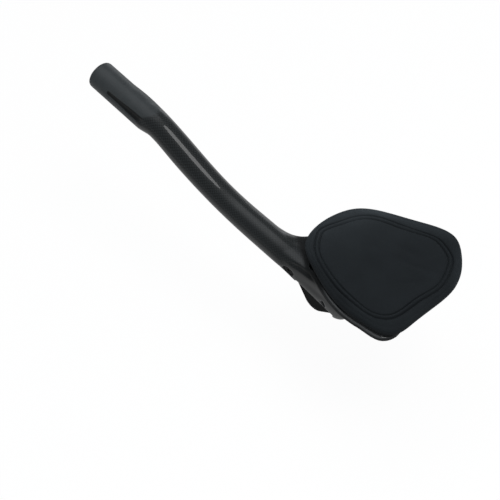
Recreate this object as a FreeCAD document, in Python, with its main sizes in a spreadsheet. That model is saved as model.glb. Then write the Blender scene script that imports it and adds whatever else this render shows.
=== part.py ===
import FreeCAD, Part
import math, os
import Sketcher
from FreeCAD import Vector, Rotation, Placement

doc = FreeCAD.newDocument("bar_extension")
sheet = doc.addObject("Spreadsheet::Sheet", "dims")
ROW = [0]


def put(name, value):
    ROW[0] += 1
    sheet.set("A%d" % ROW[0], name)
    sheet.set("B%d" % ROW[0], repr(float(value)))
    sheet.setAlias("B%d" % ROW[0], name)


# ---------------------------------------------------------------- driving dimensions (mm, degrees)
# The origin is the centre of the cross bore in the mounting lug: +X runs to the hand, +Y to the rider's left
# (inboard, this is the right-hand extension), +Z up. Stations below are measured from the bar datum, the point of
# the bar's axis under the front edge of the arm tray.
for name, value in {
    "datum_x": 37.55, "datum_z": 24.0,
    # arm tray
    "tray_top": 14.0, "tray_skirt_depth": 5.4, "tray_plate": 3.0, "tray_wall": 2.8, "tray_inset": 3.0, "tray_rear_extra": 4.5, "tray_front_extra": 3.5, "tray_inner_less": 4.7, "tray_heel_less": 4.15, "tray_corner_less": 0.8,
    "tray_edge_round": 1.6, "tray_bevel_wide": 3.2, "tray_bevel_deep": 1.1, "crease_round": 1.7,
    # arm pad
    "pad_bottom": 15.5, "pad_thick": 9.5, "pad_top_round": 4.0, "pad_bottom_round": 1.6,
    # hook-tape patches
    "patch_long": 50.0, "patch_wide": 22.0, "patch_thick": 1.5, "patch_rear": -110.0,
    "patch_side_a": -80.0, "patch_side_b": -45.0, "patch_side_c": -8.0,
    # mounting lug
    "lug_width": 20.0, "lug_nose_round": 11.0, "lug_nose_x": -0.75, "lug_nose_z": 2.7, "lug_bore": 3.1, "lug_bore_deep": 16.0,
    "lug_front_x": -17.5, "lug_front_z": -8.9, "lug_rear_x": -58.0, "lug_rear_z": -20.12,
    # lug screws and washers
    "screw_mid": -0.75, "screw_gap": 8.3, "screw_drop": 3.5, "screw_shank": 2.5, "screw_hole": 2.6, "screw_head": 4.25, "screw_head_high": 3.2,
    "screw_socket": 2.0, "screw_socket_deep": 1.8, "screw_long": 33.0,
    "washer_round": 5.0, "washer_thick": 1.0, "washer_hole": 2.7,
    "seat_round": 5.3, "seat_deep": 5.0,
    # hand end and inner channel
    "grip_pitch": 8.05, "hand_bore": 9.75, "hand_bore_deep": 50.0, "channel_wide": 9.4,
    "thumb_groove": 4.5, "thumb_groove_turn": 67.5, "thumb_groove_ends": 4.3,
    "hood_wide": 13.8, "hood_high": 13.4, "hood_long": 80.5, "hood_side": -0.3, "hood_lift": 0.4,
    "hood_pitch": 8.5, "hood_yaw": 1.2, "hood_lip_deep": 2.4, "hood_lip_long": 13.5, "hood_end_round": 2.2, "hood_proud": 0.9,
    # cable port and tie slot on the inboard flank
    "port_long": 12.0, "port_high": 8.0, "port_x": -8.2, "port_z": -2.0, "port_tip": 16.0,
    "grommet_thick": 1.9, "grommet_seat": 9.0, "grommet_eye": 1.5,
    "slot_long": 7.2, "slot_high": 2.0, "slot_deep": 6.0, "slot_x": -49.2, "slot_z": -13.3, "slot_pitch": 56.0,
}.items():
    put(name, value)

# bar stations: along, up, pitch, half width, half height
BAR = [
    (-20.0, -2.6, 8.0, 10.6, 10.6), (0.0, 0.0, 8.0, 13.0, 12.3), (20.0, 2.8, 8.0, 13.0, 12.3),
    (45.0, 6.5, 9.5, 12.7, 12.2), (70.0, 11.4, 14.0, 12.4, 12.0), (95.0, 19.1, 20.5, 12.4, 12.0),
    (115.0, 27.4, 24.8, 12.6, 12.2), (135.0, 37.1, 26.4, 12.7, 12.3), (150.0, 44.6, 24.0, 12.5, 12.1),
    (160.0, 48.5, 17.5, 12.6, 12.2), (170.0, 50.95, 11.0, 13.1, 12.5), (182.0, 52.85, 8.05, 13.8, 13.1),
    (205.0, 56.11, 8.05, 13.6, 12.9), (225.0, 58.94, 8.05, 13.2, 12.6), (238.5, 60.84, 8.05, 12.9, 12.4),
]
# neck that spreads the bar into the tray: along, sideways, up, half width, half height
NECK = [
    (-24.0, -27.8, 10.6, 36.7, 2.2), (-12.0, -16.9, 9.3, 25.6, 3.0), (2.0, -5.2, 5.6, 14.8, 6.6),
    (14.0, -1.8, 3.9, 12.6, 9.4), (34.0, -0.4, 4.6, 11.6, 10.8),
]
# keel under the tray: along, half width, bottom, top, squareness
KEEL = [
    (-73.6, 9.0, -14.0, 12.6, 2.8), (-67.0, 11.4, -25.0, 12.6, 3.4), (-57.0, 11.8, -28.0, 12.6, 4.4),
    (-38.0, 11.8, -22.8, 12.6, 4.4), (-16.0, 12.0, -15.6, 12.4, 3.4), (4.0, 12.6, -11.4, 12.4, 2.2),
    (26.0, 11.2, -7.4, 14.4, 2.0),
]
# crease between the keel's shoulder and the tray's rim: along, sideways, up
CREASE = [
    (-50.0, 19.8, 7.6), (-44.0, 15.6, 8.6), (-38.0, 12.7, 9.1), (-31.0, 10.8, 9.2), (-24.0, 10.2, 9.7), (-17.0, 10.4, 9.3),
    (-9.0, 11.6, 8.3), (-2.0, 14.0, 7.8),
]
# edge of the arm pad in plan
PAD = [
    (-5.6, -25.0), (-8.5, -47.0), (-18.0, -66.0), (-36.0, -79.0), (-60.0, -89.0), (-84.0, -98.6), (-101.0, -99.7),
    (-115.0, -89.5), (-127.0, -73.0), (-132.5, -55.0), (-131.5, -31.0), (-129.0, -8.0), (-126.2, 9.6),
    (-117.6, 18.9), (-100.7, 22.2), (-83.1, 23.2), (-62.7, 19.9), (-43.2, 13.0), (-25.6, 4.5), (-11.6, -5.4),
]
for i, (x, z, p, a, b) in enumerate(BAR):
    for key, value in zip(("along", "rise", "pitch", "wide", "high"), (x, z, p, a, b)):
        put("bar_%s_%02d" % (key, i), value)
for i, (x, y, z, a, b) in enumerate(NECK):
    for key, value in zip(("along", "side", "rise", "wide", "high"), (x, y, z, a, b)):
        put("neck_%s_%02d" % (key, i), value)
for i, row in enumerate(KEEL):
    for key, value in zip(("along", "wide", "low", "top", "square"), row):
        put("keel_%s_%02d" % (key, i), value)
for i, (x, y, z) in enumerate(CREASE):
    for key, value in zip(("along", "side", "rise"), (x, y, z)):
        put("crease_%s_%02d" % (key, i), value)
for i, (x, y) in enumerate(PAD):
    put("pad_along_%02d" % i, x)
    put("pad_side_%02d" % i, y)
doc.recompute()


def dim(name):
    return float(sheet.get(name))


DX, DZ = dim("datum_x"), dim("datum_z")


def tie(obj, prop, text):
    obj.setExpression(prop, text)


def cross_turn(pitch):
    """Turns a flat section so that its first axis runs along Y and it faces along the bar."""
    c, s = math.cos(math.radians(pitch)), math.sin(math.radians(pitch))
    return Rotation(Vector(0, 1, 0), Vector(-s, 0, c), Vector(c, 0, s), "ZXY")


def ellipse(name, x, y, z, pitch, wide, high, ex=None):
    e = doc.addObject("Part::Ellipse", name)
    e.MajorRadius, e.MinorRadius = wide, high
    e.Placement = Placement(Vector(DX + x, y, DZ + z), cross_turn(pitch))
    if ex:
        tie(e, "MajorRadius", ex[3])
        tie(e, "MinorRadius", ex[4])
        tie(e, "Placement.Base.x", "dims.datum_x + " + ex[0])
        if ex[1]:
            tie(e, "Placement.Base.y", ex[1])
        tie(e, "Placement.Base.z", "dims.datum_z + " + ex[2])
    return e


def loft(name, sections, ruled=False):
    f = doc.addObject("Part::Loft", name)
    f.Sections = sections
    f.Solid = True
    f.Ruled = ruled
    return f


def own_plane(body, role):
    for o in body.Origin.OriginFeatures:
        if o.Role == role:
            return o


def sketch_on(body, role, name, shift=None, turn=None):
    s = body.newObject("Sketcher::SketchObject", name)
    s.AttachmentSupport = [(own_plane(body, role), "")]
    s.MapMode = "FlatFace"
    s.AttachmentOffset = Placement(shift or Vector(), turn or Rotation())
    return s


def line(s, a, b):
    s.addGeometry(Part.LineSegment(Vector(a[0], a[1], 0), Vector(b[0], b[1], 0)), False)


def ring_spline(s, pts):
    c = Part.BSplineCurve()
    c.interpolate([Vector(x, y, 0) for x, y in pts], PeriodicFlag=True)
    s.addGeometry(c, False)


def pulled_in(pts, steps):
    """A closed run of plan points, each moved inwards by its own step."""
    c = Part.BSplineCurve()
    c.interpolate([Vector(x, y, 0) for x, y in pts], PeriodicFlag=True)
    area = sum(a[0] * b[1] - b[0] * a[1] for a, b in zip(pts, pts[1:] + pts[:1]))
    turn = 1.0 if area > 0 else -1.0
    out = []
    for (x, y), d in zip(pts, steps):
        t = c.tangent(c.parameter(Vector(x, y, 0)))[0]
        out.append((x - turn * t.y * d, y + turn * t.x * d))
    return out


# ---------------------------------------------------------------- the moulded extension
bar_sections = [
    ellipse("bar_section_%02d" % i, x, 0, z, p, a, b,
            ("dims.bar_along_%02d" % i, "", "dims.bar_rise_%02d" % i, "dims.bar_wide_%02d" % i, "dims.bar_high_%02d" % i))
    for i, (x, z, p, a, b) in enumerate(BAR)]
bar_tube = loft("bar_tube", bar_sections)

grip = cross_turn(dim("grip_pitch"))
grip_dir = grip.multVec(Vector(0, 0, 1))
hand_end = Vector(DX + BAR[-1][0], 0, DZ + BAR[-1][1])
palm_hood = doc.addObject("PartDesign::Body", "palm_hood")
hood_edge = sketch_on(palm_hood, "YZ_Plane", "hood_edge", Vector(dim("hood_side"), dim("hood_lift"), 0))
tie(hood_edge, "AttachmentOffset.Base.x", "dims.hood_side")
tie(hood_edge, "AttachmentOffset.Base.y", "dims.hood_lift")
hood_edge.addGeometry(Part.Ellipse(Vector(0, 0, 0), dim("hood_wide"), dim("hood_high")), False)
hood_run = palm_hood.newObject("PartDesign::Pad", "hood_run")
hood_run.Profile = hood_edge
hood_run.Reversed = True
tie(hood_run, "Length", "dims.hood_long")
doc.recompute()
for name, far in (("hood_lip", False), ("hood_end", True)):
    base = palm_hood.Tip
    rims = [(e.BoundBox.XMax, "Edge%d" % (k + 1)) for k, e in enumerate(base.Shape.Edges) if e.BoundBox.XLength < 0.01]
    level = max(p[0] for p in rims) if far else min(p[0] for p in rims)
    # the lip runs out on to the bar in a long flat taper, the hand end is only rounded
    f = palm_hood.newObject("PartDesign::Fillet" if far else "PartDesign::Chamfer", name)
    f.Base = (base, [n for x, n in rims if abs(x - level) < 0.01])
    if far:
        tie(f, "Radius", "dims.hood_end_round")
    else:
        f.ChamferType = "Two distances"
        tie(f, "Size", "dims.hood_lip_deep")
        tie(f, "Size2", "dims.hood_lip_long")
    doc.recompute()
    if not far and min(c.Area for c in f.Shape.Faces) < 200.0:
        f.FlipDirection = True
        doc.recompute()
palm_hood.Placement = Placement(hand_end + grip_dir * dim("hood_proud"), Rotation(Vector(0, 1, 0), -dim("hood_pitch")).multiply(Rotation(Vector(0, 0, 1), -dim("hood_yaw"))))

neck_sections = [
    ellipse("neck_section_%02d" % i, x, y, z, 0.0, a, b,
            tuple("dims.neck_%s_%02d" % (k, i) for k in ("along", "side", "rise", "wide", "high")))
    for i, (x, y, z, a, b) in enumerate(NECK)]
tray_neck = loft("tray_neck", neck_sections)

# keel: rounded sections that grow squarer towards the rear
keel_body = doc.addObject("PartDesign::Body", "keel_body")
keel_profiles = []
for i in range(len(KEEL)):
    x, w, z0, z1, n = (dim("keel_%s_%02d" % (k, i)) for k in ("along", "wide", "low", "top", "square"))
    s = sketch_on(keel_body, "YZ_Plane", "keel_section_%02d" % i, Vector(0, 0, DX + x))
    tie(s, "AttachmentOffset.Base.z", "dims.datum_x + dims.keel_along_%02d" % i)
    mid, half = DZ + (z0 + z1) / 2, (z1 - z0) / 2
    ring = []
    for k in range(24):
        t = 2 * math.pi * k / 24
        c, q = math.cos(t), math.sin(t)
        ring.append((math.copysign(w * abs(c) ** (2 / n), c), mid + math.copysign(half * abs(q) ** (2 / n), q)))
    ring_spline(s, ring)
    keel_profiles.append(s)
keel = keel_body.newObject("PartDesign::AdditiveLoft", "keel")
keel.Profile = keel_profiles[0]
keel.Sections = keel_profiles[1:]

# arm tray: plate with a turned-down skirt
pad_plan = [(DX + dim("pad_along_%02d" % i), dim("pad_side_%02d" % i)) for i in range(len(PAD))]
# the pad hangs over the tray's rear and front edges, and the tray's rim shows past it along the inboard one
tray_steps = []
for x, y in PAD:
    rear, front, inner, heel, corner = -134.0 < x < -126.5 and y < -5.0, x > -10.0, y > 0.0 and x > -70.0, y > 15.0 and x <= -70.0, y > 5.0 and x < -120.0
    tray_steps.append(dim("tray_inset") + (dim("tray_rear_extra") if rear else dim("tray_front_extra") if front else
                                           -dim("tray_inner_less") if inner else -dim("tray_heel_less") if heel else
                                           -dim("tray_corner_less") if corner else 0.0))
tray_plan = pulled_in(pad_plan, tray_steps)
tray_body = doc.addObject("PartDesign::Body", "tray_body")
tray_edge = sketch_on(tray_body, "XY_Plane", "tray_edge", Vector(0, 0, DZ + dim("tray_top")))
tie(tray_edge, "AttachmentOffset.Base.z", "dims.datum_z + dims.tray_top")
ring_spline(tray_edge, tray_plan)
tray_slab = tray_body.newObject("PartDesign::Pad", "tray_slab")
tray_slab.Profile = tray_edge
tray_slab.Reversed = True
tie(tray_slab, "Length", "dims.tray_skirt_depth")
doc.recompute()
# the rim falls away outwards in a shallow bevel, the foot of the skirt is rounded
for name, low in (("tray_rim", False), ("tray_foot", True)):
    base = tray_body.Tip
    pick = [(e.BoundBox.ZMax, "Edge%d" % (k + 1)) for k, e in enumerate(base.Shape.Edges)
            if e.BoundBox.ZLength < 0.01 and e.Length > 200]
    level = min(p[0] for p in pick) if low else max(p[0] for p in pick)
    f = tray_body.newObject("PartDesign::Fillet" if low else "PartDesign::Chamfer", name)
    f.Base = (base, [n for z, n in pick if abs(z - level) < 0.01])
    if low:
        tie(f, "Radius", "dims.tray_edge_round")
    else:
        f.ChamferType = "Two distances"
        tie(f, "Size", "dims.tray_bevel_wide")
        tie(f, "Size2", "dims.tray_bevel_deep")
    doc.recompute()
    flat = [c for c in f.Shape.Faces if c.BoundBox.ZLength < 0.01 and c.BoundBox.ZMax > level - 0.01]
    if not low and base.Shape.BoundBox.XLength - flat[0].BoundBox.XLength < dim("tray_bevel_wide") + dim("tray_bevel_deep"):
        f.FlipDirection = True
        doc.recompute()
tray_well = sketch_on(tray_body, "XY_Plane", "tray_well", Vector(0, 0, DZ + dim("tray_top") - dim("tray_skirt_depth")))
tie(tray_well, "AttachmentOffset.Base.z", "dims.datum_z + dims.tray_top - dims.tray_skirt_depth")
ring_spline(tray_well, pulled_in(pad_plan, [d + dim("tray_wall") for d in tray_steps]))
tray_hollow = tray_body.newObject("PartDesign::Pocket", "tray_hollow")
tray_hollow.Profile = tray_well
tray_hollow.Reversed = True
tie(tray_hollow, "Length", "dims.tray_skirt_depth - dims.tray_plate")
doc.recompute()

moulding = tray_body
for i, piece in enumerate((keel_body, tray_neck, bar_tube, palm_hood)):
    joined = doc.addObject("Part::Fuse", "moulding_%02d" % i)
    joined.Base, joined.Tool, joined.Refine = moulding, piece, False
    moulding = joined

# things taken out of the moulding
hand_bore = doc.addObject("Part::Cylinder", "hand_bore")
tie(hand_bore, "Radius", "dims.hand_bore")
tie(hand_bore, "Height", "dims.hand_bore_deep + 4")
hand_bore.Placement = Placement(hand_end - grip_dir * dim("hand_bore_deep"), grip)

channel_sections = []
for i, (x, z, p, a, b) in enumerate(BAR):
    if -1.0 < x < 206.0:
        e = ellipse("channel_section_%02d" % i, x if x else -6.0, 0, z if x else -0.9, p, dim("channel_wide"), dim("channel_wide") - 0.2)
        tie(e, "MajorRadius", "dims.channel_wide")
        tie(e, "MinorRadius", "dims.channel_wide - 0.2")
        channel_sections.append(e)
channel = loft("channel", channel_sections)

# thumb groove along the inboard flank of the grip, running out towards the hand
up = grip.multVec(Vector(0, 1, 0))
side = Vector(0, 1, 0)
radial = side * math.sin(math.radians(dim("thumb_groove_turn"))) + up * math.cos(math.radians(dim("thumb_groove_turn")))
g0 = Vector(DX + 164.0, -0.3, DZ + 50.3) + radial * 18.2
g1 = Vector(DX + 213.5, -0.3, DZ + 57.3) + radial * 17.85
groove_dir = (g1 - g0).normalize()
groove_rod = doc.addObject("Part::Cylinder", "groove_rod")
tie(groove_rod, "Radius", "dims.thumb_groove")
groove_rod.Height = (g1 - g0).Length + 2 * dim("thumb_groove_ends")
groove_rod.Placement = Placement(g0 - groove_dir * dim("thumb_groove_ends"), Rotation(Vector(0, 0, 1), groove_dir))
doc.recompute()
thumb_groove = doc.addObject("Part::Fillet", "thumb_groove")
thumb_groove.Base = groove_rod
thumb_groove.Edges = [(k + 1, dim("thumb_groove_ends"), dim("thumb_groove_ends")) for k, e in enumerate(groove_rod.Shape.Edges)
                      if e.Curve.TypeId == "Part::GeomCircle"]


# the crease fades out at both ends, where its line leaves the surface
crease_sections = []
for i, (x, y, z) in enumerate(CREASE):
    a, b = CREASE[max(i - 1, 0)], CREASE[min(i + 1, len(CREASE) - 1)]
    run = Vector(b[0] - a[0], b[1] - a[1], b[2] - a[2]).normalize()
    c = doc.addObject("Part::Circle", "crease_section_%02d" % i)
    c.Placement = Placement(Vector(DX + x, y, DZ + z), Rotation(Vector(0, 0, 1).cross(run), Vector(), run, "ZXY"))
    tie(c, "Radius", "dims.crease_round")
    tie(c, "Placement.Base.x", "dims.datum_x + dims.crease_along_%02d" % i)
    tie(c, "Placement.Base.y", "dims.crease_side_%02d" % i)
    tie(c, "Placement.Base.z", "dims.datum_z + dims.crease_rise_%02d" % i)
    crease_sections.append(c)
crease = loft("crease", crease_sections)


def obround(name, long_name, high_name, depth_text, place):
    body = doc.addObject("PartDesign::Body", name)
    s = sketch_on(body, "XY_Plane", name + "_edge")
    r = dim(high_name) / 2
    h = dim(long_name) / 2 - r
    line(s, (-h, r), (h, r))
    s.addGeometry(Part.ArcOfCircle(Part.Circle(Vector(h, 0, 0), Vector(0, 0, 1), r), -math.pi / 2, math.pi / 2), False)
    line(s, (h, -r), (-h, -r))
    s.addGeometry(Part.ArcOfCircle(Part.Circle(Vector(-h, 0, 0), Vector(0, 0, 1), r), math.pi / 2, 3 * math.pi / 2), False)
    p = body.newObject("PartDesign::Pad", name + "_run")
    p.Profile = s
    tie(p, "Length", depth_text)
    body.Placement = place
    return body


# the port looks inboard and a little down, the slot straight inboard; local x runs along the bar
port_dir = Vector(0, 0.99, -0.1).normalize()
port_face = Rotation(Vector(1, 0, 0.14).normalize(), Vector(), port_dir, "ZXY")
port_mid = Vector(DX + dim("port_x"), 0, DZ + dim("port_z"))
port_cut = obround("port_cut", "port_long", "port_high", "dims.port_tip", Placement(port_mid + port_dir * 3.0, port_face))
slot_face = Rotation(Vector(math.cos(math.radians(dim("slot_pitch"))), 0, math.sin(math.radians(dim("slot_pitch")))), Vector(), Vector(0, 1, 0), "ZXY")
slot_cut = obround("slot_cut", "slot_long", "slot_high", "dims.slot_deep + 4",
                   Placement(Vector(DX + dim("slot_x"), dim("keel_wide_03") - dim("slot_deep"), DZ + dim("slot_z")), slot_face))

# the rear screw sits lower, because the lug falls away to the rear
screw_spots = [("front", "dims.screw_mid + dims.screw_gap", "dims.datum_z + dims.tray_top - dims.seat_deep"),
               ("rear", "dims.screw_mid - dims.screw_gap", "dims.datum_z + dims.tray_top - dims.seat_deep - dims.screw_drop")]
# flat land for the lug under the keel
fall = math.atan2(dim("lug_front_z") - dim("lug_rear_z"), dim("lug_front_x") - dim("lug_rear_x"))
land_cut = doc.addObject("Part::Box", "land_cut")
land_cut.Length, land_cut.Width, land_cut.Height = 44.0, 40.0, 12.0
land_turn = Rotation(Vector(0, 1, 0), -math.degrees(fall))
land_cut.Placement = Placement(Vector(DX + dim("lug_rear_x"), 0, DZ + dim("lug_rear_z")) + land_turn.multVec(Vector(-1.5, -20.0, -12.0)), land_turn)
cutters = [hand_bore, channel, thumb_groove, crease, port_cut, slot_cut, land_cut]
for tag, text, seat in screw_spots:
    c = doc.addObject("Part::Cylinder", "screw_way_" + tag)
    tie(c, "Radius", "dims.screw_hole")
    c.Height = 60.0
    tie(c, "Placement.Base.x", text)
    tie(c, "Placement.Base.z", "dims.datum_z + dims.tray_top - 56")
    s = doc.addObject("Part::Cylinder", "screw_seat_" + tag)
    tie(s, "Radius", "dims.seat_round")
    tie(s, "Height", "dims.seat_deep + dims.screw_drop + 4")
    tie(s, "Placement.Base.x", text)
    tie(s, "Placement.Base.z", seat)
    cutters += [c, s]
extension_bar = moulding
for i, cutter in enumerate(cutters):
    left = doc.addObject("Part::Cut", "extension_bar" if i == len(cutters) - 1 else "bar_cut_%02d" % i)
    left.Base, left.Tool, left.Refine = extension_bar, cutter, False
    extension_bar = left
extension_bar.Label = "extension_bar"
extension_bar.Placement = Placement()

# ---------------------------------------------------------------- grommet in the cable port
grommet_body = obround("grommet_body", "port_long", "port_high", "dims.grommet_thick", Placement(port_mid + port_dir * dim("grommet_seat"), port_face))
wire_way = doc.addObject("Part::Cylinder", "wire_way")
tie(wire_way, "Radius", "dims.grommet_eye")
tie(wire_way, "Height", "dims.grommet_thick + 4")
wire_way.Placement = Placement(port_mid + port_dir * (dim("grommet_seat") - 2.0), port_face)
port_grommet = doc.addObject("Part::Cut", "port_grommet")
port_grommet.Base, port_grommet.Tool = grommet_body, wire_way
port_grommet.Label = "port_grommet"
port_grommet.Placement = Placement()

# ---------------------------------------------------------------- arm pad
arm_pad = doc.addObject("PartDesign::Body", "arm_pad")
arm_pad.Label = "arm_pad"
pad_edge = sketch_on(arm_pad, "XY_Plane", "pad_edge", Vector(0, 0, DZ + dim("pad_bottom")))
tie(pad_edge, "AttachmentOffset.Base.z", "dims.datum_z + dims.pad_bottom")
ring_spline(pad_edge, pad_plan)
pad_block = arm_pad.newObject("PartDesign::Pad", "pad_block")
pad_block.Profile = pad_edge
tie(pad_block, "Length", "dims.pad_thick")
doc.recompute()
for name, low, text in (("pad_crown", False, "dims.pad_top_round"), ("pad_foot", True, "dims.pad_bottom_round")):
    base = arm_pad.Tip
    pick = [(e.BoundBox.ZMax, "Edge%d" % (k + 1)) for k, e in enumerate(base.Shape.Edges)
            if e.BoundBox.ZLength < 0.01 and e.Length > 200]
    level = min(p[0] for p in pick) if low else max(p[0] for p in pick)
    f = arm_pad.newObject("PartDesign::Fillet", name)
    f.Base = (base, [n for z, n in pick if abs(z - level) < 0.01])
    tie(f, "Radius", text)
    doc.recompute()

# ---------------------------------------------------------------- hook-tape patches on the tray
patches = []
for tag in "abc":
    p = doc.addObject("Part::Box", "hook_patch_" + tag)
    tie(p, "Length", "dims.patch_long")
    tie(p, "Width", "dims.patch_wide")
    tie(p, "Height", "dims.patch_thick")
    tie(p, "Placement.Base.x", "dims.datum_x + dims.patch_rear")
    tie(p, "Placement.Base.y", "dims.patch_side_" + tag)
    tie(p, "Placement.Base.z", "dims.datum_z + dims.tray_top")
    patches.append(p)
hook_patches = doc.addObject("Part::Compound", "hook_patches")
hook_patches.Links = patches
hook_patches.Label = "hook_patches"

# ---------------------------------------------------------------- mounting lug
lug_body = doc.addObject("PartDesign::Body", "lug_body")
lug_edge = sketch_on(lug_body, "XZ_Plane", "lug_edge")
fx, fz = DX + dim("lug_front_x"), DZ + dim("lug_front_z")
rx, rz = DX + dim("lug_rear_x"), DZ + dim("lug_rear_z")
R, nx, nz = dim("lug_nose_round"), dim("lug_nose_x"), dim("lug_nose_z")


def touch(px, pz, hand):
    """Point where the line from (px, pz) touches the nose circle."""
    d = math.hypot(px - nx, pz - nz)
    a = math.atan2(pz - nz, px - nx) + hand * math.acos(R / d)
    return a, (nx + R * math.cos(a), nz + R * math.sin(a))


fa, ft = touch(fx, fz, -1)
ra, rt = touch(rx, rz, 1)
line(lug_edge, (fx, fz), ft)
a0, a1 = ra - 2 * math.pi if ra > fa else ra, fa
lug_edge.addGeometry(Part.ArcOfCircle(Part.Circle(Vector(nx, nz, 0), Vector(0, 0, 1), R), a0, a1), False)
line(lug_edge, rt, (rx, rz))
line(lug_edge, (rx, rz), (fx, fz))
lug_block = lug_body.newObject("PartDesign::Pad", "lug_block")
lug_block.Profile = lug_edge
lug_block.SideType = "Symmetric"
tie(lug_block, "Length", "dims.lug_width")
lug_holes = []
cross_bore = doc.addObject("Part::Cylinder", "cross_bore")
tie(cross_bore, "Radius", "dims.lug_bore")
tie(cross_bore, "Height", "dims.lug_bore_deep + 2")
cross_bore.Placement = Placement(Vector(0, -dim("lug_width") / 2 - 2, 0), Rotation(Vector(1, 0, 0), -90))
lug_holes.append(cross_bore)
for tag, text, seat in screw_spots:
    c = doc.addObject("Part::Cylinder", "lug_thread_" + tag)
    tie(c, "Radius", "dims.screw_hole")
    c.Height = 30.0
    tie(c, "Placement.Base.x", text)
    tie(c, "Placement.Base.z", seat + " + dims.washer_thick - dims.screw_long - 0.5")
    lug_holes.append(c)
lug_out = doc.addObject("Part::MultiFuse", "lug_out")
lug_out.Shapes = lug_holes
mount_lug = doc.addObject("Part::Cut", "mount_lug")
mount_lug.Base = lug_body
mount_lug.Tool = lug_out
mount_lug.Label = "mount_lug"
mount_lug.Placement = Placement()

# ---------------------------------------------------------------- lug screws and washers
screw_set, washer_set = [], []
for tag, text, seat in screw_spots:
    shank = doc.addObject("Part::Cylinder", "screw_shank_" + tag)
    tie(shank, "Radius", "dims.screw_shank")
    tie(shank, "Height", "dims.screw_long + 0.5")
    tie(shank, "Placement.Base.x", text)
    tie(shank, "Placement.Base.z", seat + " + dims.washer_thick - dims.screw_long")
    head = doc.addObject("Part::Cylinder", "screw_head_" + tag)
    tie(head, "Radius", "dims.screw_head")
    tie(head, "Height", "dims.screw_head_high")
    tie(head, "Placement.Base.x", text)
    tie(head, "Placement.Base.z", seat + " + dims.washer_thick")
    whole = doc.addObject("Part::Fuse", "screw_whole_" + tag)
    whole.Base, whole.Tool = head, shank
    key = doc.addObject("Part::Prism", "screw_key_" + tag)
    key.Polygon = 6
    tie(key, "Circumradius", "dims.screw_socket * 1.1547")
    tie(key, "Height", "dims.screw_socket_deep + 2")
    tie(key, "Placement.Base.x", text)
    tie(key, "Placement.Base.z", seat + " + dims.washer_thick + dims.screw_head_high - dims.screw_socket_deep")
    one = doc.addObject("Part::Cut", "screw_" + tag)
    one.Base, one.Tool = whole, key
    screw_set.append(one)
    disc = doc.addObject("Part::Cylinder", "washer_disc_" + tag)
    tie(disc, "Radius", "dims.washer_round")
    tie(disc, "Height", "dims.washer_thick")
    tie(disc, "Placement.Base.x", text)
    tie(disc, "Placement.Base.z", seat)
    eye = doc.addObject("Part::Cylinder", "washer_eye_" + tag)
    tie(eye, "Radius", "dims.washer_hole")
    tie(eye, "Height", "dims.washer_thick + 2")
    tie(eye, "Placement.Base.x", text)
    tie(eye, "Placement.Base.z", seat + " - 1")
    ring = doc.addObject("Part::Cut", "washer_" + tag)
    ring.Base, ring.Tool = disc, eye
    washer_set.append(ring)
lug_screws = doc.addObject("Part::Compound", "lug_screws")
lug_screws.Links = screw_set
lug_screws.Label = "lug_screws"
lug_washers = doc.addObject("Part::Compound", "lug_washers")
lug_washers.Links = washer_set
lug_washers.Label = "lug_washers"

doc.recompute()
NODES = [extension_bar, port_grommet, arm_pad, hook_patches, mount_lug, lug_screws, lug_washers]
bad = [o.Name for o in doc.Objects if "Invalid" in o.State or "Error" in o.State]
if bad:
    raise RuntimeError("not built: " + ", ".join(bad))
os.makedirs("parts", exist_ok=True)
for o in NODES:
    if o.Shape.isNull() or not o.Shape.isValid():
        raise RuntimeError("bad shape: " + o.Label)
    o.Shape.exportStep("parts/%s.step" % o.Label)
    b = o.Shape.BoundBox
    print(o.Label, len(o.Shape.Solids), "solids", round(o.Shape.Volume / 1000, 2), "cm3",
          [round(v, 1) for v in (b.XMin, b.XMax, b.YMin, b.YMax, b.ZMin, b.ZMax)])
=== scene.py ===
import math

import bmesh
import bpy
import numpy as np
from mathutils import Matrix, Vector
from mathutils.bvhtree import BVHTree


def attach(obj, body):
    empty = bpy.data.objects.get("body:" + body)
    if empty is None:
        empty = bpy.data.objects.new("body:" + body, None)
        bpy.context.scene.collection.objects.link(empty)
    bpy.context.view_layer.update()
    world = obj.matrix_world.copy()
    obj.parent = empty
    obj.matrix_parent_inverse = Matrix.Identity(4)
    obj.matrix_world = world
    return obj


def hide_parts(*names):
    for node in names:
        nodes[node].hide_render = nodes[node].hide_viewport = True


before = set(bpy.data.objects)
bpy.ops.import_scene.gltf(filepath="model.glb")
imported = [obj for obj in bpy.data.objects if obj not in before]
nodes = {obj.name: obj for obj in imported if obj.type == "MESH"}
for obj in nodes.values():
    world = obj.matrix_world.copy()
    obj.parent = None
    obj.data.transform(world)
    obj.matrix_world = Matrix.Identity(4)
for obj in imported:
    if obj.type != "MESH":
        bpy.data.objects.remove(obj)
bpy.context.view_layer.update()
scene = bpy.context.scene
MM = 0.001
DX, DZ = 0.03755, 0.0240  # the bar datum in the row frame, metres


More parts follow.
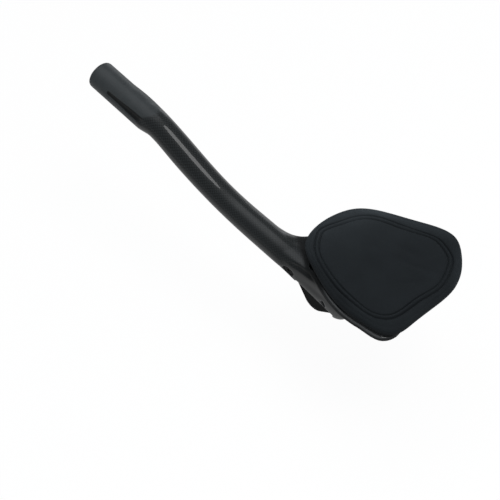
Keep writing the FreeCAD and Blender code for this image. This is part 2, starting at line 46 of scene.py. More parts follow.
# ---------------------------------------------------------------- node graphs
class Graph:
    """One procedural material, written as short expressions."""

    def __init__(self, name):
        self.mat = bpy.data.materials.new(name)
        self.mat.use_nodes = True
        self.tree = self.mat.node_tree
        self.tree.nodes.clear()
        out = self.tree.nodes.new("ShaderNodeOutputMaterial")
        self.bsdf = self.tree.nodes.new("ShaderNodeBsdfPrincipled")
        self.tree.links.new(self.bsdf.outputs[0], out.inputs[0])
        self.pos = self.tree.nodes.new("ShaderNodeTexCoord").outputs["Object"]

    def feed(self, socket, value):
        if isinstance(value, bpy.types.NodeSocket):
            self.tree.links.new(value, socket)
        else:
            socket.default_value = value

    def math(self, op, a, b=None, c=None, clamp=False):
        n = self.tree.nodes.new("ShaderNodeMath")
        n.operation, n.use_clamp = op, clamp
        for k, v in enumerate((a, b, c)):
            if v is not None:
                self.feed(n.inputs[k], v)
        return n.outputs[0]

    def add(self, a, b):
        return self.math("ADD", a, b)

    def mul(self, a, b):
        return self.math("MULTIPLY", a, b)

    def split(self, v):
        n = self.tree.nodes.new("ShaderNodeSeparateXYZ")
        self.feed(n.inputs[0], v)
        return n.outputs

    def join(self, x, y, z):
        n = self.tree.nodes.new("ShaderNodeCombineXYZ")
        for k, v in enumerate((x, y, z)):
            self.feed(n.inputs[k], v)
        return n.outputs[0]

    def dot(self, v, w):
        n = self.tree.nodes.new("ShaderNodeVectorMath")
        n.operation = "DOT_PRODUCT"
        self.feed(n.inputs[0], v)
        self.feed(n.inputs[1], w)
        return n.outputs["Value"]

    def less(self, v, w):
        n = self.tree.nodes.new("ShaderNodeVectorMath")
        n.operation = "SUBTRACT"
        self.feed(n.inputs[0], v)
        self.feed(n.inputs[1], w)
        return n.outputs[0]

    def stretch(self, v, w):
        n = self.tree.nodes.new("ShaderNodeVectorMath")
        n.operation = "MULTIPLY"
        self.feed(n.inputs[0], v)
        self.feed(n.inputs[1], w)
        return n.outputs[0]

    def step(self, v, lo, hi, out_lo=0.0, out_hi=1.0):
        n = self.tree.nodes.new("ShaderNodeMapRange")
        n.interpolation_type = "SMOOTHSTEP"
        for k, x in enumerate((v, lo, hi, out_lo, out_hi)):
            self.feed(n.inputs[k], x)
        return n.outputs[0]

    def blend(self, f, a, b):
        n = self.tree.nodes.new("ShaderNodeMix")
        n.data_type = "FLOAT"
        self.feed(n.inputs[0], f)
        self.feed(n.inputs[2], a)
        self.feed(n.inputs[3], b)
        return n.outputs[0]

    def tint(self, f, a, b):
        n = self.tree.nodes.new("ShaderNodeMix")
        n.data_type = "RGBA"
        self.feed(n.inputs[0], f)
        self.feed(n.inputs[6], a if isinstance(a, bpy.types.NodeSocket) else (*a, 1.0))
        self.feed(n.inputs[7], b if isinstance(b, bpy.types.NodeSocket) else (*b, 1.0))
        return n.outputs[2]

    def noise(self, v, scale, detail=2.0, rough=0.5):
        n = self.tree.nodes.new("ShaderNodeTexNoise")
        self.feed(n.inputs["Vector"], v)
        n.inputs["Scale"].default_value = scale
        n.inputs["Detail"].default_value = detail
        n.inputs["Roughness"].default_value = rough
        return n.outputs[0]

    def cells(self, v, scale):
        n = self.tree.nodes.new("ShaderNodeTexVoronoi")
        self.feed(n.inputs["Vector"], v)
        n.inputs["Scale"].default_value = scale
        return n.outputs["Distance"]

    def curve(self, v, points):
        n = self.tree.nodes.new("ShaderNodeFloatCurve")
        c = n.mapping.curves[0]
        while len(c.points) < len(points):
            c.points.new(0.5, 0.5)
        for p, (x, y) in zip(c.points, points):
            p.location = (x, y)
            p.handle_type = "AUTO"
        n.mapping.update()
        n.inputs["Factor"].default_value = 1.0
        self.feed(n.inputs["Value"], v)
        return n.outputs[0]

    def bump(self, height, distance, strength=1.0):
        n = self.tree.nodes.new("ShaderNodeBump")
        n.inputs["Strength"].default_value = strength
        n.inputs["Distance"].default_value = distance
        self.feed(n.inputs["Height"], height)
        return n.outputs[0]

    def set(self, **values):
        for name, value in values.items():
            s = self.bsdf.inputs[name.replace("_", " ")]
            if s.type == "RGBA" and not isinstance(value, bpy.types.NodeSocket):
                value = (*value, 1.0)
            self.feed(s, value)


# ---------------------------------------------------------------- carbon: weave under a clear coat, satin on the grip
BAR_LINE = [(-20.0, -2.6), (0.0, 0.0), (20.0, 2.8), (45.0, 6.5), (70.0, 11.4), (95.0, 19.1), (115.0, 27.4), (135.0, 37.1),
            (150.0, 44.6), (160.0, 48.5), (170.0, 50.95), (182.0, 52.85), (205.0, 56.11), (238.5, 60.84)]
GRIP_DIR = (math.cos(math.radians(8.05)), 0.0, math.sin(math.radians(8.05)))
GRIP_UP = (-GRIP_DIR[2], 0.0, GRIP_DIR[0])
HAND_END = (DX + 0.2385, 0.0, DZ + 0.06084)


def carbon():
    g = Graph("carbon_weave")
    x, y, z = g.split(g.pos)
    # the bar's own line, so that the cloth runs along and round it
    span0, span1, top = -0.10, 0.30, 0.12
    t = g.math("DIVIDE", g.math("SUBTRACT", x, span0), span1 - span0, clamp=True)
    pts = [((DX + a * MM - span0) / (span1 - span0), (DZ + b * MM) / top) for a, b in BAR_LINE]
    mid = g.mul(g.curve(t, [(0.0, pts[0][1])] + pts + [(1.0, pts[-1][1] + 0.02)]), top)
    around = g.mul(g.math("ARCTAN2", y, g.math("SUBTRACT", z, mid)), 0.0128)
    on_tray = g.math("MULTIPLY", g.math("LESS_THAN", y, -0.0165), g.math("LESS_THAN", x, 0.045))
    v = g.blend(on_tray, around, y)
    wobble = g.mul(g.math("SUBTRACT", g.noise(g.pos, 55.0, 1.0), 0.5), 0.0011)
    tow = 0.00150
    a = g.math("DIVIDE", g.add(x, wobble), tow)
    b = g.math("DIVIDE", g.add(v, wobble), tow)
    over = g.math("FLOORED_MODULO", g.add(g.math("FLOOR", a), g.math("FLOOR", b)), 2.0)
    ha = g.math("SINE", g.mul(g.math("FRACT", a), math.pi))
    hb = g.math("SINE", g.mul(g.math("FRACT", b), math.pi))
    crown = g.blend(over, g.mul(g.math("SQRT", hb), g.add(0.55, g.mul(ha, 0.45))), g.mul(g.math("SQRT", ha), g.add(0.55, g.mul(hb, 0.45))))
    # filaments run along whichever tow is on top
    run_a = g.noise(g.join(g.mul(a, 0.35), g.mul(b, 9.0), 0.0), 1.0, 2.0, 0.6)
    run_b = g.noise(g.join(g.mul(a, 9.0), g.mul(b, 0.35), 7.0), 1.0, 2.0, 0.6)
    filament = g.blend(over, run_a, run_b)
    # palm hood: a smooth satin skin whose rear edge is a tongue over the bar; its thumb groove is painted dark as shade
    rel = g.less(g.pos, HAND_END)
    along, rise = g.dot(rel, GRIP_DIR), g.dot(rel, GRIP_UP)
    drift = g.math("SUBTRACT", y, 0.0005)
    lip = g.add(-0.0752, g.mul(g.mul(drift, drift), 60.0))
    hood = g.step(g.math("SUBTRACT", along, lip), -0.0022, 0.0030)
    turn = g.mul(g.math("SUBTRACT", g.math("ARCTAN2", g.add(y, 0.0003), rise), math.radians(65.5)), 0.0146)
    past = g.math("MAXIMUM", g.add(along, 0.02525), 0.0)
    # the groove's floor of painted shade is slimmer towards the hand end
    groove_far = g.add(g.math("SQRT", g.add(g.mul(turn, turn), g.mul(past, past))), g.step(along, -0.062, -0.026, 0.0, 0.0012))
    satin = g.mul(hood, g.step(groove_far, 0.0026, 0.0039))
    # smooth resin skin on the keel and the tray's edge
    skin = g.step(x, 0.030, 0.012)
    rim = g.mul(g.step(z, 0.0362, 0.0370), g.step(x, 0.0, -0.02))
    # painted shade: the tray's wall under the rim is painted near-black, dull and almost without coat, for the crease's
    # shade
    dull_and_painted_shade = g.mul(g.mul(g.step(z, 0.0370, 0.0358), g.step(z, 0.0312, 0.0326)), g.step(x, 0.002, -0.008))
    # painted highlight: a pale line on the tray's rim towards the rear, in place of the gloss highlight along its edge
    painted_rim_highlight = g.mul(g.mul(rim, g.step(x, -0.034, -0.052)), g.mul(g.step(x, -0.088, -0.076), g.step(y, 0.002, 0.014)))
    # the neck, where the coat is thinner and the colour is painted darker as shade
    neck = g.mul(g.step(x, 0.058, 0.036), g.step(x, -0.014, 0.002))
    # painted shadow: a stripe of the neck's top beside the pad's edge is painted dark as the pad's shadow
    beside = g.step(g.add(g.mul(x, 0.577), g.mul(y, 0.816)), 0.0165, 0.0120)
    dull_and_painted_shade = g.math("MAXIMUM", dull_and_painted_shade, g.mul(g.mul(beside, g.step(z, 0.0290, 0.0325)), g.step(x, -0.020, -0.008)))
    # the thumb groove's floor gets the crease's dull finish and is painted dark as shade
    dull_and_painted_shade = g.math("MAXIMUM", dull_and_painted_shade, g.mul(hood, g.step(groove_far, 0.0039, 0.0026, 0.0, 0.85)))
    plain = g.math("MAXIMUM", hood, g.mul(skin, 0.85))
    weave = g.math("SUBTRACT", 1.0, plain)
    mottle = g.noise(g.pos, 90.0, 3.0, 0.55)
    patchy = g.mul(g.step(g.noise(g.pos, 240.0, 2.0, 0.6), 0.30, 0.70, 0.70, 1.40), g.step(x, 0.05, 0.14, 0.60, 1.0))
    shade = g.add(0.5, g.mul(g.math("SUBTRACT", g.add(g.mul(over, 0.55), g.add(g.mul(filament, 0.40), g.mul(crown, 0.18))), 0.56), patchy))
    cloth_colour = g.tint(g.step(shade, 0.08, 0.95), (0.0032, 0.0058, 0.0072), (0.0315, 0.0388, 0.0415))
    satin_colour = g.tint(g.step(mottle, 0.3, 0.7), (0.0870, 0.0992, 0.1052), (0.1010, 0.1132, 0.1192))
    skin_colour = g.tint(g.step(mottle, 0.3, 0.7), (0.0160, 0.0203, 0.0230), (0.0250, 0.0303, 0.0340))
    # a near-black used for painted shade in the crease, the thumb groove and the neck
    shade_colour = g.tint(g.step(mottle, 0.3, 0.7), (0.0047, 0.0068, 0.0080), (0.0067, 0.0088, 0.0101))
    # painted shade: the neck is tinted towards the shade colour
    skin_colour = g.tint(g.mul(neck, 0.75), skin_colour, shade_colour)
    # the rim line is painted pale as a highlight
    skin_colour = g.tint(g.mul(painted_rim_highlight, g.step(mottle, 0.2, 0.6, 0.7, 1.0)), skin_colour, (0.150, 0.155, 0.158))
    # the thumb groove and the shaded wall take the painted shade colour
    colour = g.tint(satin, g.tint(g.math("MAXIMUM", hood, dull_and_painted_shade), g.tint(g.mul(skin, 0.85), cloth_colour, skin_colour), shade_colour), satin_colour)
    fine = g.noise(g.pos, 2600.0, 2.0, 0.6)
    height = g.add(g.mul(g.add(crown, g.mul(filament, 0.35)), weave), g.mul(g.mul(fine, satin), 0.10))
    rough = g.add(g.blend(satin, g.blend(dull_and_painted_shade, g.blend(skin, 0.42, 0.34), 0.62), 0.42), g.mul(g.math("SUBTRACT", mottle, 0.5), 0.10))
    g.set(Base_Color=colour, Roughness=rough, Normal=g.bump(height, 0.00012, 0.55), Coat_Weight=g.blend(satin, g.blend(dull_and_painted_shade, g.blend(neck, g.blend(g.math("MAXIMUM", rim, g.math("SUBTRACT", 1.0, skin)), 0.75, 1.0), 0.55), 0.06), 0.09))
    g.set(Coat_Roughness=0.05, Coat_IOR=1.5, IOR=1.5)
    g.bsdf.inputs["Specular IOR Level"].default_value = 0.42
    return g.mat


# ---------------------------------------------------------------- cloth of the arm pad
def pad_cloth():
    g = Graph("pad_cloth")
    x, y, z = g.split(g.pos)
    # fine two-way knit, turned a little to the bar
    p = g.add(g.mul(x, 0.87), g.mul(y, 0.50))
    q = g.add(g.mul(x, -0.50), g.mul(y, 0.87))
    rib = g.math("SINE", g.mul(g.add(p, g.mul(z, 0.6)), 2 * math.pi / 0.00085))
    course = g.math("SINE", g.mul(g.add(q, g.mul(z, 0.6)), 2 * math.pi / 0.00070))
    knit = g.add(g.mul(g.mul(rib, course), 0.5), 0.5)
    nap = g.noise(g.pos, 1500.0, 3.0, 0.65)
    cloud = g.noise(g.pos, 42.0, 3.0, 0.5)
    f = g.add(g.mul(knit, 0.35), g.add(g.mul(nap, 0.4), g.mul(g.step(cloud, 0.3, 0.7), 0.20)))
    f = g.math("MULTIPLY", f, 1.0, clamp=True)
    # painted light: the cloth is painted paler towards the front and outboard side, where more light falls
    painted_lit_side = g.step(g.add(g.mul(x, 0.85), g.mul(y, -0.50)), -0.012, 0.048)
    colour = g.tint(painted_lit_side, g.tint(f, (0.0236, 0.0280, 0.0315), (0.0390, 0.0466, 0.0526)), g.tint(f, (0.0335, 0.0393, 0.0437), (0.0553, 0.0651, 0.0723)))
    # painted light and shade: the flange is painted paler on its outboard and rear sides and the field paler towards
    # the front, and painted darker inboard and down its flank
    outboard = g.step(g.add(g.mul(x, 0.35), g.mul(y, -0.94)), 0.060, 0.073)
    rear = g.step(g.add(g.mul(x, -0.85), g.mul(y, -0.50)), 0.1035, 0.1110)
    inboard = g.step(g.add(g.mul(x, 0.25), g.mul(y, 0.97)), 0.002, 0.009)
    front = g.step(g.add(g.mul(x, 0.85), g.mul(y, -0.50)), 0.022, 0.042)
    gain = g.mul(g.add(g.add(1.12, g.mul(front, 0.34)), g.mul(painted_lit_side, 0.16)), g.add(1.0, g.mul(g.math("MAXIMUM", outboard, rear), 0.38)))
    gain = g.mul(g.mul(gain, g.add(1.0, g.mul(inboard, -0.18))), g.step(z, 0.0425, 0.0462, 0.5, 1.0))
    colour = g.stretch(colour, g.join(gain, gain, gain))
    height = g.add(g.mul(knit, 0.6), g.mul(nap, 0.8))
    g.set(Base_Color=colour, Roughness=g.add(0.82, g.mul(nap, 0.14)), Normal=g.bump(height, 0.00012, 0.6))
    g.set(Sheen_Weight=0.05, Sheen_Roughness=0.45, Sheen_Tint=(0.75, 0.85, 0.95), IOR=1.42)
    g.bsdf.inputs["Specular IOR Level"].default_value = 0.2
    return g.mat


def rubber():
    g = Graph("grommet_rubber")
    grain = g.noise(g.pos, 2200.0, 3.0, 0.6)
    bloom = g.noise(g.pos, 260.0, 2.0, 0.5)
    colour = g.tint(g.step(bloom, 0.35, 0.7), (0.0045, 0.0047, 0.005), (0.010, 0.0105, 0.011))
    g.set(Base_Color=colour, Roughness=g.add(0.62, g.mul(bloom, 0.25)), Normal=g.bump(grain, 0.00008, 0.4))
    return g.mat


def hook_tape():
    g = Graph("hook_tape")
    x, y, z = g.split(g.pos)
    loops = g.math("MULTIPLY", g.math("SINE", g.mul(x, 2 * math.pi / 0.0011)), g.math("SINE", g.mul(y, 2 * math.pi / 0.0013)))
    fuzz = g.noise(g.pos, 1800.0, 3.0, 0.7)
    f = g.add(g.mul(loops, 0.3), fuzz)
    colour = g.tint(g.step(f, 0.2, 0.9), (0.006, 0.0062, 0.0066), (0.020, 0.0205, 0.0215))
    g.set(Base_Color=colour, Roughness=g.add(0.78, g.mul(fuzz, 0.18)), Normal=g.bump(f, 0.0003, 0.7))
    return g.mat


def anodised():
    g = Graph("black_anodised")
    x, y, z = g.split(g.pos)
    # faint milling lines across the flanks and a duller, paler worn edge
    mill = g.noise(g.stretch(g.pos, (350.0, 60.0, 3200.0)), 1.0, 2.0, 0.6)
    cloud = g.noise(g.pos, 180.0, 3.0, 0.55)
    edge = g.tree.nodes.new("ShaderNodeNewGeometry").outputs["Pointiness"]
    worn = g.mul(g.step(edge, 0.53, 0.62), g.step(cloud, 0.45, 0.7))
    base = g.tint(g.step(cloud, 0.3, 0.7), (0.0022, 0.0027, 0.0030), (0.0038, 0.0044, 0.0047))
    g.set(Base_Color=g.tint(worn, base, (0.016, 0.0165, 0.017)), Metallic=0.0,
          Roughness=g.add(0.46, g.mul(mill, 0.16)), Normal=g.bump(mill, 0.00003, 0.35))
    g.bsdf.inputs["Specular IOR Level"].default_value = 0.12
    return g.mat


def black_steel():
    g = Graph("black_oxide_steel")
    cloud = g.noise(g.pos, 420.0, 3.0, 0.6)
    turn = g.noise(g.stretch(g.pos, (300.0, 300.0, 5200.0)), 1.0, 2.0, 0.5)
    colour = g.tint(g.step(cloud, 0.35, 0.7), (0.028, 0.028, 0.030), (0.055, 0.054, 0.053))
    g.set(Base_Color=colour, Metallic=0.85, Roughness=g.add(0.34, g.mul(cloud, 0.2)), Normal=g.bump(turn, 0.00003, 0.3))
    return g.mat


def zinc():
    g = Graph("zinc_washer")
    cloud = g.noise(g.pos, 500.0, 3.0, 0.6)
    colour = g.tint(g.step(cloud, 0.3, 0.7), (0.36, 0.365, 0.37), (0.50, 0.50, 0.49))
    g.set(Base_Color=colour, Metallic=1.0, Roughness=g.add(0.28, g.mul(cloud, 0.2)), Normal=g.bump(cloud, 0.00003, 0.3))
    return g.mat


CLOTH = pad_cloth()
for name, mat in {"extension_bar": carbon(), "port_grommet": rubber(), "hook_patches": hook_tape(), "mount_lug": anodised(),
                  "lug_screws": black_steel(), "lug_washers": zinc()}.items():
    o = nodes[name]
    o.data.materials.clear()
    o.data.materials.append(mat)

# the moulding's seams between hood, bar, neck and tray are run together, as they are in the mould
bar = nodes["extension_bar"]
r = bar.modifiers.new("skin", "REMESH")
r.mode, r.voxel_size, r.use_smooth_shade = "VOXEL", 0.00095, True
sm = bar.modifiers.new("run_together", "SMOOTH")
sm.factor, sm.iterations = 0.5, 8

# the lug's machined edges are broken by a small chamfer
lug = nodes["mount_lug"]
w = lug.modifiers.new("weld", "WELD")
w.merge_threshold = 1e-6
b = lug.modifiers.new("edge", "BEVEL")
b.width, b.segments, b.limit_method, b.angle_limit = 0.0006, 2, "ANGLE", math.radians(40)

# ---------------------------------------------------------------- arm pad: foam under cloth with an embossed double line
PAD_EDGE = [
    (-5.6, -25.0), (-8.5, -47.0), (-18.0, -66.0), (-36.0, -79.0), (-60.0, -89.0), (-84.0, -98.6), (-101.0, -99.7),
    (-115.0, -89.5), (-127.0, -73.0), (-132.5, -55.0), (-131.5, -31.0), (-129.0, -8.0), (-126.2, 9.6),
    (-117.6, 18.9), (-100.7, 22.2), (-83.1, 23.2), (-62.7, 19.9), (-43.2, 13.0), (-25.6, 4.5), (-11.6, -5.4)]
SEAM = [
    (-21.3, -6.4), (-12.7, -19.4), (-11.2, -26.4), (-17.7, -44.0), (-26.3, -60.7), (-40.0, -71.3), (-57.6, -77.1),
    (-74.9, -82.8), (-90.9, -87.3), (-102.5, -84.7), (-114.0, -77.9), (-121.7, -63.4), (-125.0, -46.7), (-121.1, -26.3),
    (-117.9, -4.1), (-112.8, 7.6), (-101.5, 14.2), (-86.3, 15.0), (-68.9, 13.4), (-51.0, 9.1), (-31.9, 1.2)]
MIDDLE = np.array([-68.0, -35.0])
TURNS = 432


def closed_spline(points, n):
    """n points on the closed smooth curve through the given ones."""
    p = np.array(points, float)
    m = len(p)
    h = np.linalg.norm(np.roll(p, -1, 0) - p, axis=1) ** 0.6
    a = np.zeros((m, m))
    rhs = np.zeros((m, 2))
    for i in range(m):
        j, k = (i - 1) % m, (i + 1) % m
        a[i, j] += h[j]
        a[i, i] += 2 * (h[j] + h[i])
        a[i, k] += h[i]
        rhs[i] = 6 * ((p[k] - p[i]) / h[i] - (p[i] - p[j]) / h[j])
    s = np.linalg.solve(a, rhs)
    out = []
    per = n // m + 1
    for i in range(m):
        k = (i + 1) % m
        u = np.linspace(0, 1, per, endpoint=False)[:, None]
        out.append((1 - u) * p[i] + u * p[k] + h[i] ** 2 / 6 * (((1 - u) ** 3 - (1 - u)) * s[i] + (u ** 3 - u) * s[k]))
    return np.vstack(out)


ANGLES = np.linspace(-math.pi, math.pi, TURNS, endpoint=False)


def reach(points):
    """Distance from the pad's middle to a closed curve, for each of the pad's rays."""
    c = closed_spline(points, 4000) - MIDDLE
    t = np.arctan2(c[:, 1], c[:, 0])
    o = np.argsort(t)
    return np.interp(ANGLES, t[o], np.linalg.norm(c, axis=1)[o], period=2 * math.pi)


EDGE, LINE_A = reach(PAD_EDGE), reach(SEAM)
FOOT, TOP = 15.5, 25.0


def smooth_ring(v, k):
    w = np.hanning(2 * k + 3)[1:-1]
    return np.convolve(np.concatenate([v[-k:], v, v[:k]]), w / w.sum(), "valid")


LINE_A = smooth_ring(LINE_A, 3)
LINE_B = LINE_A - 4.0


def new_mesh(name, verts, faces):
    m = bpy.data.meshes.new(name)
    m.from_pydata(verts, [], faces)
    m.validate()
    o = bpy.data.objects.new(name, m)
    scene.collection.objects.link(o)
    return o


def ring_faces(rings, turns):
    f = []
    for r in range(rings - 1):
        for k in range(turns):
            j = (k + 1) % turns
            f.append((r * turns + k, r * turns + j, (r + 1) * turns + j, (r + 1) * turns + k))
    return f


def to_frame(x, y, z):
    return (DX + x * MM, y * MM, DZ + z * MM)


def swollen_cover():
    """The cover blown up over its foam, held down along the embossed band and at its foot, as a tree to look up heights in."""
    turns = 144
    pick = slice(None, None, TURNS // turns)
    ang, edge = ANGLES[pick], EDGE[pick]
    c, s = np.cos(ang), np.sin(ang)
    verts = []
    for inset, z in ((1.6, FOOT), (0.9, FOOT + 1.4), (0.9, TOP - 4.5), (2.2, TOP - 1.9), (5.0, TOP - 0.9)):
        r = edge - inset
        verts += [to_frame(MIDDLE[0] + r[k] * c[k], MIDDLE[1] + r[k] * s[k], z) for k in range(turns)]
    faces = ring_faces(5, turns) + [tuple(range(turns))[::-1], tuple(range(4 * turns, 5 * turns))]
    o = new_mesh("cover_start", verts, faces)
    r = o.modifiers.new("remesh", "REMESH")
    r.mode, r.voxel_size = "VOXEL", 0.0036
    dg = bpy.context.evaluated_depsgraph_get()
    m = bpy.data.meshes.new_from_object(o.evaluated_get(dg))
    bpy.data.objects.remove(o)
    o = bpy.data.objects.new("cover_cloth", m)
    scene.collection.objects.link(o)
    co = np.array([v.co for v in m.vertices]) / MM - np.array([DX / MM, 0, DZ / MM])
    rel = co[:, :2] - MIDDLE
    ray = np.arctan2(rel[:, 1], rel[:, 0])
    out = np.linalg.norm(rel, axis=1)
    mid = np.interp(ray, ANGLES, (LINE_A + LINE_B) / 2, period=2 * math.pi)
    band = (np.abs(out - mid) < 2.7) & (co[:, 2] > TOP - 3)
    foot = co[:, 2] < FOOT + 2.0
    for i in np.nonzero(band)[0]:
        m.vertices[i].co.z -= 0.0005
    hold = o.vertex_groups.new(name="hold")
    hold.add([int(i) for i in np.nonzero(band | foot)[0]], 1.0, "REPLACE")
    start = np.array([v.co for v in m.vertices])
    cl = o.modifiers.new("cloth", "CLOTH")
    st = cl.settings
    st.quality, st.mass = 6, 0.3
    st.tension_stiffness = st.compression_stiffness = 25
    st.shear_stiffness, st.bending_stiffness = 10, 4
    st.use_pressure, st.uniform_pressure_force = True, 4.0
    st.vertex_group_mass = "hold"
    st.effector_weights.gravity = 0.0
    for f in range(1, 21):
        scene.frame_set(f)
    dg = bpy.context.evaluated_depsgraph_get()
    done = bpy.data.meshes.new_from_object(o.evaluated_get(dg))
    scene.frame_set(1)
    co = np.array([v.co for v in done.vertices])
    move = co - start
    far = np.linalg.norm(move, axis=1, keepdims=True)
    cap = 0.0022
    co = start + move * (cap * np.tanh(far / cap) / np.maximum(far, 1e-9))
    done.vertices.foreach_set("co", co.astype(np.float32).ravel())
    bpy.data.objects.remove(o)
    o = bpy.data.objects.new("cover_done", done)
    scene.collection.objects.link(o)
    sub = o.modifiers.new("sub", "SUBSURF")
    sub.levels = sub.render_levels = 2
    dg = bpy.context.evaluated_depsgraph_get()
    m = bpy.data.meshes.new_from_object(o.evaluated_get(dg))
    tree = BVHTree.FromPolygons([v.co for v in m.vertices], [p.vertices[:] for p in m.polygons])
    bpy.data.objects.remove(o)
    return tree


cover = swollen_cover()


def cover_height(x, y):
    hit = cover.ray_cast(Vector(to_frame(x, y, 60.0)), Vector((0, 0, -1)))
    return (hit[0].z - DZ) / MM if hit[0] else TOP - 1.0


def groove(d, deep, wide):
    return -deep * np.exp(-(d / wide) ** 2)


def build_pad():
    c, s = np.cos(ANGLES), np.sin(ANGLES)
    rows = []  # (distance from the middle, height) for each ray

    def heights(r):
        return np.array([cover_height(MIDDLE[0] + r[k] * c[k], MIDDLE[1] + r[k] * s[k]) for k in range(TURNS)])

    flat = np.full(TURNS, FOOT)
    for f in (0.03, 0.15, 0.3, 0.45, 0.6, 0.75, 0.88, 1.0):
        rows.append(((EDGE - 8.0) * f, flat))
    # the foot is tucked in, so that a shadow gap shows over the tray, and it sags a little beside the neck
    sag = 1.5 * np.exp(-((ANGLES - 0.76) / 0.14) ** 2)
    for inset, up in ((6.0, 0.02), (4.7, 0.06), (3.6, 0.13), (2.6, 0.27), (1.8, 0.52), (1.15, 0.92), (0.65, 1.6), (0.28, 2.6), (0.09, 4.3)):
        rows.append((EDGE - inset, flat + up - sag * min(1.0, (6.0 - inset) / 4.2) * max(0.0, 1 - up / 4.6)))
    shoulder = smooth_ring(heights(EDGE - 6.0), 6) - 0.25
    R = 2.7
    for a in np.radians([0, 11, 22, 33, 44, 55, 66, 78, 90]):
        rows.append((EDGE - R + R * math.cos(a), shoulder - R + R * math.sin(a)))
    # a slow swell along the flange, then the embossed lines
    rim = EDGE - R
    pucker = 0.10 * np.sin(ANGLES * 61 + 0.7) + 0.07 * np.sin(ANGLES * 97 + 2.1)
    for f in (0.15, 0.32, 0.5, 0.66, 0.8, 0.9):
        r = rim + (LINE_A + 1.5 - rim) * f
        rows.append((r, heights(r) + pucker * f ** 2 + 0.35 * math.sin(math.pi * f)))
    base_a, base_b = smooth_ring(heights(LINE_A), 5), smooth_ring(heights(LINE_B), 5)
    deep = 1.0 + 0.18 * np.sin(ANGLES * 5 + 0.4)
    for d in (1.5, 1.1, 0.8, 0.5, 0.25, 0.0, -0.25, -0.5, -0.8, -1.1):
        rows.append((LINE_A + d, base_a + groove(d, 1.7, 0.7) * deep + 0.12 * pucker))
    for f in (0.2, 0.4, 0.6, 0.8):
        r = LINE_A - 1.1 + (LINE_B + 1.1 - LINE_A + 1.1) * f
        rows.append((r, base_a + (base_b - base_a) * f + 0.42 * math.sin(math.pi * f)))
    for d in (1.1, 0.8, 0.5, 0.25, 0.0, -0.25, -0.5, -0.8, -1.1, -1.5):
        rows.append((LINE_B + d, base_b + groove(d, 1.4, 0.62) * deep + 0.12 * pucker))
    inner = LINE_B - 1.5
    steps = [0.985, 0.965, 0.94, 0.91, 0.88, 0.845] + list(np.linspace(0.80, 0.04, 26))
    for f in steps:
        r = inner * f
        h = heights(r)
        rows.append((r, h + pucker * 0.6 * max(0.0, (f - 0.8) / 0.2)))
    verts = []
    for r, h in rows:
        x, y = MIDDLE[0] + r * c, MIDDLE[1] + r * s
        h = np.array(h, float)
        on_top = h > TOP - 3
        # soft dents that an arm has left in the field
        for px, py, ax, long, wide, deep_d in ((-96.0, -50.0, 0.35, 15.0, 2.7, 0.95), (-103.0, -33.0, 0.9, 12.0, 2.4, 0.80), (-80.0, -58.0, 0.1, 13.0, 3.2, 0.65), (-112.0, -40.0, 1.2, 8.0, 2.2, 0.60)):
            u = (x - px) * math.cos(ax) + (y - py) * math.sin(ax)
            v = -(x - px) * math.sin(ax) + (y - py) * math.cos(ax)
            h = h - on_top * deep_d * np.exp(-(u / long) ** 2 - (v / wide) ** 2)
        h = h + on_top * 0.10 * np.sin(x * 0.11 + 1.3) * np.sin(y * 0.13 + 0.4)
        verts += [to_frame(x[k], y[k], h[k]) for k in range(TURNS)]
    n = len(rows)
    faces = ring_faces(n, TURNS)
    verts.append(to_frame(MIDDLE[0], MIDDLE[1], FOOT))
    verts.append(to_frame(MIDDLE[0], MIDDLE[1], cover_height(*MIDDLE)))
    faces += [(k, len(verts) - 2, (k + 1) % TURNS) for k in range(TURNS)]
    last = (n - 1) * TURNS
    faces += [(last + k, last + (k + 1) % TURNS, len(verts) - 1) for k in range(TURNS)]
    o = new_mesh("arm_pad_cover", verts, faces)
    bm = bmesh.new()
    bm.from_mesh(o.data)
    bmesh.ops.recalc_face_normals(bm, faces=bm.faces)
    bm.to_mesh(o.data)
    bm.free()
    for p in o.data.polygons:
        p.use_smooth = True
    o.data.materials.append(CLOTH)
    return o


pad = build_pad()
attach(pad, "root")
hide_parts("arm_pad")

# ---------------------------------------------------------------- stage
def floor():
    m = bpy.data.meshes.new("floor")
    m.from_pydata([(-6, -6, -0.10), (6, -6, -0.10), (6, 6, -0.10), (-6, 6, -0.10)], [], [(0, 1, 2, 3)])
    o = bpy.data.objects.new("floor", m)
    scene.collection.objects.link(o)
    g = Graph("pale_floor")
    across = g.split(g.pos)[1]
    # painted glow: to all but camera rays the floor glows as a lamp, brighter towards -y and dimmer towards +y
    floor_glow = g.add(0.12, g.add(g.step(across, 0.20, 0.60, 0.20, 0.0), g.step(across, -0.25, -0.05, 0.15, 0.0)))
    seen = g.tree.nodes.new("ShaderNodeLightPath").outputs["Is Camera Ray"]
    g.set(Base_Color=(0.16, 0.16, 0.16), Roughness=1.0, Emission_Color=(1.0, 1.0, 1.0), Emission_Strength=g.blend(seen, floor_glow, 0.94))
    g.bsdf.inputs["Specular IOR Level"].default_value = 0.0
    m.materials.append(g.mat)


floor()

world = bpy.data.worlds.new("studio")
scene.world = world
world.use_nodes = True


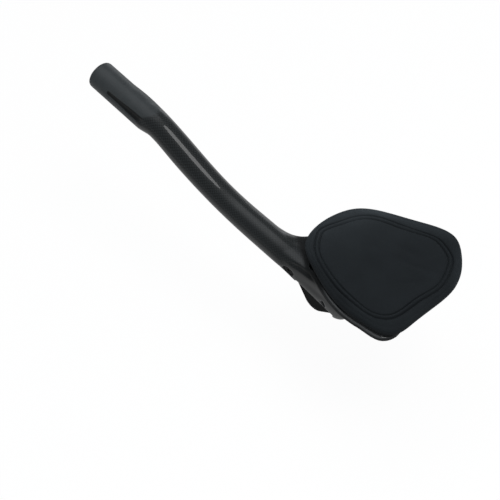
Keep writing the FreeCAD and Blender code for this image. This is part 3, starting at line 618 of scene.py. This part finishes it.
def studio_sky(tree):
    """A dim room, paler at the horizon, with a wide soft glow overhead and a faint one low on the outboard side."""
    tree.nodes.clear()
    link = tree.links.new

    def node(kind, **values):
        n = tree.nodes.new(kind)
        for k, v in values.items():
            setattr(n, k, v)
        return n

    def smooth(v, lo, hi, out_lo, out_hi):
        n = node("ShaderNodeMapRange", interpolation_type="SMOOTHSTEP")
        link(v, n.inputs[0])
        for k, x in enumerate((lo, hi, out_lo, out_hi)):
            n.inputs[k + 1].default_value = x
        return n.outputs[0]

    def plus(a, b):
        n = node("ShaderNodeMath", operation="ADD")
        for k, x in enumerate((a, b)):
            if isinstance(x, float):
                n.inputs[k].default_value = x
            else:
                link(x, n.inputs[k])
        return n.outputs[0]

    def times(a, b):
        n = node("ShaderNodeMath", operation="MULTIPLY")
        link(a, n.inputs[0])
        link(b, n.inputs[1])
        return n.outputs[0]

    sep = node("ShaderNodeSeparateXYZ")
    link(node("ShaderNodeTexCoord").outputs["Generated"], sep.inputs[0])
    x, y, z = sep.outputs
    across = times(plus(smooth(x, -0.10, 0.12, 0.0, 1.0), smooth(x, 0.30, 0.42, 0.0, SKY_FRONT)), smooth(x, 0.46, 0.62, 1.0, 0.0))
    along = times(smooth(y, -0.58, -0.34, 0.0, 1.0), smooth(y, -0.05, 0.70, 1.0, 0.0))
    low = times(times(smooth(x, 0.18, 0.42, 0.0, SKY_LOW), smooth(y, -0.95, -0.66, 1.0, 0.0)), smooth(z, 0.24, 0.54, 1.0, 0.0))
    level = plus(plus(SKY_DIM, smooth(z, 0.0, 0.20, SKY_EDGE, 0.0)), times(times(across, along), smooth(z, 0.1, 0.5, 0.0, SKY_TOP)))
    level = plus(level, low)
    sky = node("ShaderNodeBackground")
    sky.inputs[0].default_value = (0.97, 1.0, 1.03, 1.0)
    link(level, sky.inputs[1])
    link(sky.outputs[0], node("ShaderNodeOutputWorld").inputs[0])


SKY_DIM, SKY_EDGE, SKY_TOP, SKY_FRONT, SKY_LOW = 0.16, 0.12, 0.54, 0.75, 0.95
studio_sky(world.node_tree)


def soft_light(name, at, aim, size, radiance, shape="DISK"):
    d = bpy.data.lights.new(name, "AREA")
    d.shape, d.size = shape, size if shape == "DISK" else size[0]
    area = math.pi * size * size / 4 if shape == "DISK" else size[0] * size[1]
    if shape == "RECTANGLE":
        d.size_y = size[1]
    d.energy = radiance * math.pi * area
    o = bpy.data.objects.new(name, d)
    scene.collection.objects.link(o)
    o.location = at
    o.rotation_euler = (Vector(aim) - Vector(at)).to_track_quat("-Z", "Y").to_euler()


bar_mid = Vector((0.15, 0.0, 0.062))
soft_light("overhead_box", bar_mid + 1.5 * Vector((-0.34, -0.08, 0.94)).normalized(), bar_mid, 0.73, 2.5)

cam = bpy.data.objects.new("camera", bpy.data.cameras.new("camera"))
scene.collection.objects.link(cam)
cam.matrix_world = Matrix(((-0.72653819, 0.54146275, -0.42303706, -0.34088546),
                           (-0.68712609, -0.57251991, 0.44730157, 0.45100665),
                           (0.0, 0.61566148, 0.78801075, 0.78436125),
                           (0.0, 0.0, 0.0, 1.0)))
cam.data.sensor_width, cam.data.lens = 36.0, 36.0 * 1100.0 / 500.0
cam.data.clip_start, cam.data.clip_end = 0.02, 50.0
scene.camera = cam
scene.view_settings.view_transform = "Standard"
